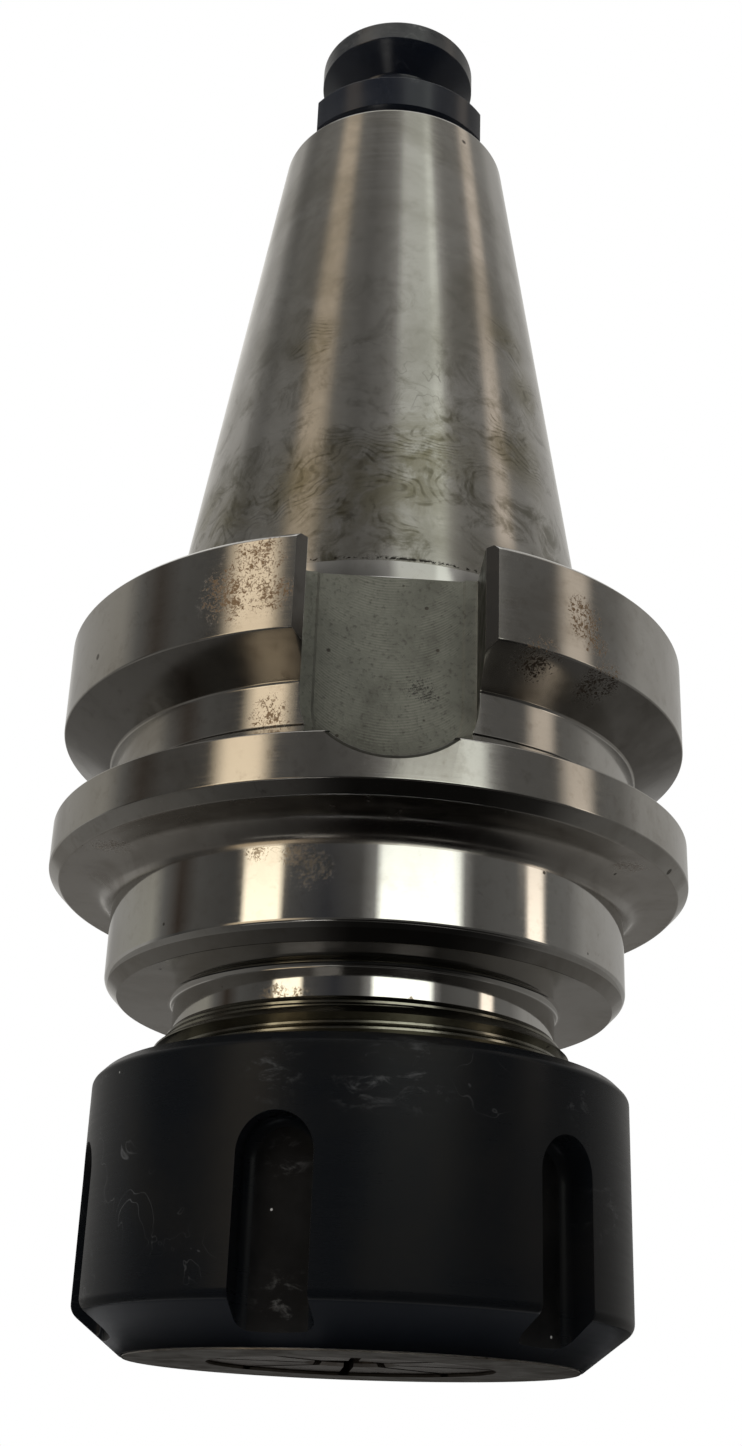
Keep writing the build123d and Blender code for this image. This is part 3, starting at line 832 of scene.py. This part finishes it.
# the light patches round this look's listed places are painted highlights, two of them on the front of the
# collar's top corner
studOxideAndHighlightLook = {
    "colour": (0.0035, 0.005, 0.009), "warm": (0.008, 0.0095, 0.013), "gloss": 0.5, "rough": (0.16, 0.24),
    "cloudScale": 120, "grain": (200, 200, 3500), "grainDepth": 0.001, "wearAndHighlight": 0.6,
    "wearAndHighlightColour": (0.09, 0.09, 0.088),
    "wearAndHighlights": [((-1.5, -11.3, 140.2), 1.2), ((1.5, -11.3, 140.2), 1.5), ((-5.5, -7.4, 149.4), 1.6)],
    "scratch": 0.08, "lintRarity": 0.985,
}
# the head's rim is a lighter grey than the rest of the stud, with light patches on its front: a painted highlight
# on the top of the stud
studRimPaintedHighlightLook = {
    "colour": (0.015, 0.016, 0.017), "warm": (0.036, 0.036, 0.035), "gloss": 0.5, "rough": (0.24, 0.34),
    "cloudScale": 150, "grain": (200, 200, 3500), "grainDepth": 0.001, "wearAndHighlight": 0.6,
    "wearAndHighlightColour": (0.14, 0.14, 0.135), "wearAndHighlights": [((0.0, -9.2, 150.9), 5.0), ((-6.0, -7.0, 150.6), 2.5)],
    "scratch": 0.4, "lintRarity": 0.985,
}
studBlackAndHighlights, studRimPaintedHighlight = blackOxide("stud black oxide and painted highlights", studOxideAndHighlightLook), blackOxide("stud rim painted highlight", studRimPaintedHighlightLook)
nutBlack, nutSlotBlack = blackOxide("nut black oxide", nutLook), blackOxide("spanner slot", slotFloorLook)
nutChamferBlack = blackOxide("nut chamfer", nutChamferLook)

# the flange's rounded edges keep the slot that roundEdges gave them, and the others take a finish by place
wornFaces = [face.index for face in holderBody.data.polygons
             if face.material_index == body["edgeSlot"] and 46 * mm < face.center.z < 69 * mm
             and math.hypot(face.center.x, face.center.y) > 26 * mm]
dress(holderBody, flangeSteel, taperSteel, polishedSteel, undersideSteel, slotSteel,
      threadSteel, wallPaintedShadeSteel, faceTurnedSteel, flankSteel, edgeSteel)
slotSide = slot["halfWidth"] + 0.02
bodyCoats = [
    (flangeSteel, lambda x, y, z, r, n: True),
    (taperSteel, lambda x, y, z, r, n: z > body["gaugeZ"] + 0.05),
    # the neck and the round body, and the short step between the flange and the taper
    (polishedSteel, lambda x, y, z, r, n: 29.0 < z < 40.7 and r > 18.3 or 68.2 < z < 69.8 and r > 22),
    (undersideSteel, lambda x, y, z, r, n: 40.7 < z < 43.05 and 24 < r < 30.5),
    # the groove's upper flank, and the key slots' flared sides
    (flankSteel, lambda x, y, z, r, n: g3 + 0.1 < z < g4 - 0.1 and n.z < -0.3 and r > 26.4),
    (flankSteel, lambda x, y, z, r, n: 8.06 < abs(x) < 9.9 and abs(y) > 28.5 and 0.5 < abs(n.x) < 0.85),
    # the round body's lower face
    (faceTurnedSteel, lambda x, y, z, r, n: z < 33.2 and n.z < -0.15 and r > 18.7),
    # the key slots' floors, their walls, and the broken edges round their ends; the walls and those edges take a
    # near-black painted shade
    (slotSteel, lambda x, y, z, r, n: abs(x) < slotSide and 22.5 < abs(y) < 24.3 and 46 < z < 67.9),
    (wallPaintedShadeSteel, lambda x, y, z, r, n: abs(x) < slotSide and abs(y) > 24.3 and 46 < z < 67.9 and abs(n.y) < 0.2),
    (wallPaintedShadeSteel, lambda x, y, z, r, n: 8.0 < math.hypot(x, z - slot["endZ"]) < 8.6
     and 46 < z < g1 and 31.0 < r < 31.485),
    # the nose and everything inside
    (threadSteel, lambda x, y, z, r, n: z < 29.3 or r < 16.6 and z < body["gaugeZ"]),
]
for finish, test in bodyCoats:
    coat(holderBody, finish, test)
for index in wornFaces:
    holderBody.data.polygons[index].material_index = body["edgeSlot"]
dress(noseThread, threadSteel)
dress(pullStud, studBlackAndHighlights, studRimPaintedHighlight)
# the head's rim takes the lighter grey of the painted highlight
coat(pullStud, studRimPaintedHighlight, lambda x, y, z, r, n: z > 148.75 and r > 8.0)
dress(nutShell, nutBlack, nutSlotBlack, nutChamferBlack)
coat(nutShell, nutChamferBlack, lambda x, y, z, r, n: 0.2 < z < 3.5 and 19 < r < 24.9 and -0.95 < n.z < -0.3)
for azimuth in slotTurns:
    outward = Vector((math.sin(math.radians(azimuth)), -math.cos(math.radians(azimuth)), 0))
    coat(nutShell, nutSlotBlack, lambda x, y, z, r, n: n.dot(outward) > 0.98
         and abs(Vector((x, y, 0)).dot(outward) - nut["slot"]["floorAt"]) < 0.05)
dress(frame["nodes"]["thrust_ring"], faceSteel)
dress(frame["nodes"]["collet"], colletSteel)
dress(frame["nodes"]["bearing_balls"], brightSteel)
dress(frame["nodes"]["ball_plug"], nutBlack)
print("finishes made")


# in metres; the floor's paper has a hole under the nut, and fades out between two distances
studio = {
    "floor": 1.6,
    "hole": 0.0203,
    "fade": (0.2, 0.55),
    "ring": 0.6,
    "ringZ": (-0.3, 1.3),
}
pickNone()
bpy.ops.mesh.primitive_circle_add(vertices=96, radius=studio["hole"], fill_type="NOTHING")
floor = bpy.context.object
floor.name = floor.data.name = "floor"
bpy.ops.object.mode_set(mode="EDIT")
bpy.ops.mesh.select_all(action="SELECT")
bpy.ops.mesh.extrude_region_move()
bpy.ops.transform.resize(value=(studio["floor"] / studio["hole"],) * 3, center_override=(0, 0, 0))
bpy.ops.mesh.select_all(action="SELECT")
bpy.ops.mesh.normals_make_consistent(inside=False)
bpy.ops.object.mode_set(mode="OBJECT")
if floor.data.polygons[0].normal.z < 0:
    floor.data.flip_normals()

# matt paper that can be seen through from below and far from the middle
paper = Finish("floor paper")
paper.plug((0.82, 0.82, 0.82), paper.shader.inputs["Base Color"])
paper.plug(0.9, paper.shader.inputs["Roughness"])
clear = paper.add("ShaderNodeBsdfTransparent").outputs[0]
away = paper.add("ShaderNodeVectorMath", operation="LENGTH")
paper.plug(paper.here, away.inputs[0])
layer = paper.shader.outputs[0]
for share in (paper.add("ShaderNodeNewGeometry").outputs["Backfacing"],
              paper.band(away.outputs["Value"], *studio["fade"])):
    layers = paper.add("ShaderNodeMixShader")
    for value, socket in zip((share, layer, clear), layers.inputs):
        paper.plug(value, socket)
    layer = layers.outputs[0]
paper.show(layer)
dress(floor, paper.material)

# a ring of cards that only shows in the steel: soft windows with dark between them, given by bearing
# in degrees, 0 towards the lens and 90 to its right, in four rows that blend at these heights in metres
cream, daylight, blush = (2.1, 1.87, 1.45), (2.3, 2.35, 2.15), (1.9, 1.68, 1.42)
rowHeights = {"middle": (0.125, 0.175), "high": (0.21, 0.27), "top": (0.36, 0.6)}
ringPlan = {
    "low": [
        (-180, 0.9), (-155, 0.36), (-108, 0.36), (-98, 0.13), (-88, 0.05), (-76, 0.08), (-64, 0.08),
        (-55, (0.95, 0.76, 0.52)), (-40, (0.9, 0.73, 0.52)), (-24, 0.08), (-10, 0.05), (12, 0.06), (34, 0.06),
        (44, 0.05), (64, 0.08), (72, 0.2), (80, 0.12), (95, 0.2), (125, 0.26), (155, 0.32), (170, 0.75),
    ],
    "middle": [
        (-180, 0.95), (-166, 0.5), (-150, 0.32), (-108, (0.35, 0.34, 0.3)), (-100, 0.14),
        (-90, (0.045, 0.035, 0.028)), (-80, 0.1), (-62, 0.07), (-57.5, 0.08), (-55.5, cream), (-40.5, cream),
        (-38, 0.09), (-20, (0.035, 0.036, 0.041)), (-6, 0.075), (0, 0.3), (3, daylight), (33.5, daylight),
        (34.5, 0.8), (35.5, daylight), (37, 0.3), (42, 0.09), (60, 0.13), (67, 0.14), (69, blush),
        (75.5, blush), (78, 0.15), (92, 0.18), (104, 0.33), (125, 0.38), (155, 0.4), (170, 0.8),
    ],
    "high": [
        (-180, 1.0), (-165, 0.62), (-150, 0.38), (-108, (0.33, 0.315, 0.285)), (-98, 0.14),
        (-88, (0.06, 0.05, 0.042)), (-78, 0.1), (-60, 0.07), (-53, (1.35, 1.12, 0.82)),
        (-42, (1.35, 1.12, 0.82)), (-36, 0.11), (-20, 0.09), (-6, 0.12), (2, 0.24), (8, (0.68, 0.69, 0.63)),
        (25, (0.74, 0.75, 0.68)), (28, (1.05, 1.08, 1.0)), (34, (1.05, 1.08, 1.0)), (37, 0.3), (43, 0.12),
        (62, 0.12), (68, (0.75, 0.66, 0.56)), (75, (0.75, 0.66, 0.56)), (80, 0.14), (92, 0.2), (105, 0.38),
        (125, 0.41), (155, 0.46), (170, 0.9),
    ],
    "top": [
        (-180, 1.25), (-162, 1.05), (-143, 0.72), (-125, 0.5), (-108, 0.46), (-98, 0.24), (-88, 0.17),
        (-78, 0.23), (-60, 0.22), (-53, (0.66, 0.56, 0.44)), (-43, (0.66, 0.56, 0.44)), (-36, 0.2), (-20, 0.13),
        (-6, 0.2), (2, 0.31), (7, (0.68, 0.69, 0.65)), (26, (0.7, 0.72, 0.66)), (28, (0.98, 1.01, 0.93)),
        (32, (0.98, 1.01, 0.93)), (35, 0.42), (43, 0.25), (62, 0.25), (68, (0.78, 0.69, 0.6)),
        (75, (0.78, 0.69, 0.6)), (80, 0.28), (92, 0.3), (105, 0.44), (126, 0.46), (146, 0.62), (165, 1.05),
    ],
}


def ringRow(name):
    # a plain number is a slightly warm grey
    stops = []
    for azimuth, tone in ringPlan[name]:
        colour = tone if isinstance(tone, tuple) else (tone, tone * 0.98, tone * 0.94)
        stops.append(((azimuth + 180) / 360, colour))
    return cards.ramp(share, stops)


cards = Finish("card ring")
bearing = cards.sums("ARCTAN2", cards.axis("X"), cards.times(cards.axis("Y"), -1))
height = cards.axis("Z")
# the windows lean apart towards the top
leaning = cards.sums("DIVIDE", bearing, cards.band(height, 0.4, 0.85, 1.0, 1.2, "LINEAR"))
share = cards.band(leaning, -math.pi, math.pi, shape="LINEAR")
around = ringRow("low")
for row, levels in rowHeights.items():
    around = cards.mix(cards.band(height, *levels, shape="LINEAR"), around, ringRow(row))
cards.glow(around, cards.band(height, -0.02, 0.0, 0.12, 1.0, "LINEAR"))

pickNone()
cardsFrom, cardsTo = studio["ringZ"]
bpy.ops.mesh.primitive_cylinder_add(vertices=96, radius=studio["ring"], depth=cardsTo - cardsFrom,
                                    end_fill_type="NOTHING", location=(0, 0, (cardsTo + cardsFrom) / 2))
ring = settled("card_ring")
dress(ring, cards.material)


def cardDisc(name, inner, outer, height, stops):
    # a flat card whose brightness goes round with the bearing
    pickNone()
    bpy.ops.mesh.primitive_circle_add(vertices=96, radius=outer, fill_type="NGON", location=(0, 0, height))
    card = settled(name)
    if inner:
        bpy.ops.object.mode_set(mode="EDIT")
        bpy.ops.mesh.select_all(action="SELECT")
        bpy.ops.mesh.inset(thickness=outer - inner)
        bpy.ops.mesh.delete(type="FACE")
        bpy.ops.object.mode_set(mode="OBJECT")
    look = Finish(name)
    gradient = look.add("ShaderNodeTexGradient", gradient_type="RADIAL")
    look.plug(look.here, gradient.inputs[0])
    tones = [(place, (level, level * 0.97, level * 0.92)) for place, level in stops]
    look.glow(look.ramp(gradient.outputs["Fac"], tones))
    dress(card, look.material)
    return card


# brightness by the share of the way round: 0.25 is towards the lens, 0.5 the right, 0.75 the back
apronStops = [(0.0, 0.16), (0.06, 0.12), (0.11, 0.07), (0.15, 0.05), (0.175, 0.04), (0.2, 0.016),
              (0.225, 0.006), (0.27, 0.006), (0.34, 0.006), (0.4, 0.018), (0.45, 0.11), (0.6, 0.22),
              (0.9, 0.22), (1.0, 0.16)]
litStops = [(0.0, 0.16), (0.06, 0.12), (0.1, 0.07), (0.115, 0.3), (0.165, 0.4), (0.185, 0.06), (0.24, 0.05),
            (0.275, 0.1), (0.3, 0.24), (0.33, 0.2), (0.35, 0.05), (0.45, 0.12), (0.6, 0.2), (0.9, 0.2),
            (1.0, 0.16)]
streakStops = [(0.0, 0.16), (0.1, 0.06), (0.16, 0.02), (0.172, 1.4), (0.198, 1.6), (0.21, 0.02), (0.33, 0.01),
               (0.39, 0.045), (0.45, 0.13), (0.6, 0.22), (0.9, 0.22), (1.0, 0.16)]
underStops = [(0.0, 0.05), (0.15, 0.03), (0.3, 0.035), (0.45, 0.07), (1.0, 0.05)]
# each disc's inner and outer radius and height in metres, and its tones
discs = {
    "card_apron": (0.0265, studio["ring"], 0.0004, apronStops),
    "card_lit_apron": (0.114, 0.134, 0.0006, litStops),
    "card_streak": (0.155, 0.18, 0.0006, streakStops),
    "card_under": (0, studio["ring"], -0.25, underStops),
}
for card in [ring] + [cardDisc(name, *plan) for name, plan in discs.items()]:
    card.visible_camera = card.visible_diffuse = card.visible_shadow = card.visible_transmission = False

# the world is white to the lens and in reflections, and lights the rest with a softer grey
world = bpy.data.worlds.new("studio world")
bpy.context.scene.world = world
world.use_nodes = True
nodes, links = world.node_tree.nodes, world.node_tree.links
nodes.clear()
ray = nodes.new("ShaderNodeLightPath")
seen = ray.outputs["Is Camera Ray"]
for kind in ("Is Glossy Ray", "Is Transmission Ray"):
    either = nodes.new("ShaderNodeMath")
    either.operation = "MAXIMUM"
    links.new(seen, either.inputs[0])
    links.new(ray.outputs[kind], either.inputs[1])
    seen = either.outputs[0]
blend = nodes.new("ShaderNodeMixShader")
links.new(seen, blend.inputs[0])
for socket, colour in ((1, (0.62, 0.63, 0.65, 1)), (2, (1, 1, 1, 1))):
    plain = nodes.new("ShaderNodeBackground")
    plain.inputs["Color"].default_value = colour
    links.new(plain.outputs[0], blend.inputs[socket])
worldOut = nodes.new("ShaderNodeOutputWorld")
links.new(blend.outputs[0], worldOut.inputs["Surface"])

key = {"place": (-0.35, -0.5, 0.75), "aim": (0, 0, 0.06), "size": 0.45, "watts": 7.0}
pickNone()
bpy.ops.object.light_add(type="AREA", location=key["place"])
lamp = bpy.context.object
lamp.name = "key"
lamp.data.shape = "SQUARE"
lamp.data.size = key["size"]
lamp.data.energy = key["watts"]
lamp.rotation_euler = (Vector(key["aim"]) - Vector(key["place"])).to_track_quat("-Z", "Y").to_euler()
lamp.visible_camera = lamp.visible_glossy = False
print("studio lit")

bpy.context.scene.view_settings.view_transform = "Standard"
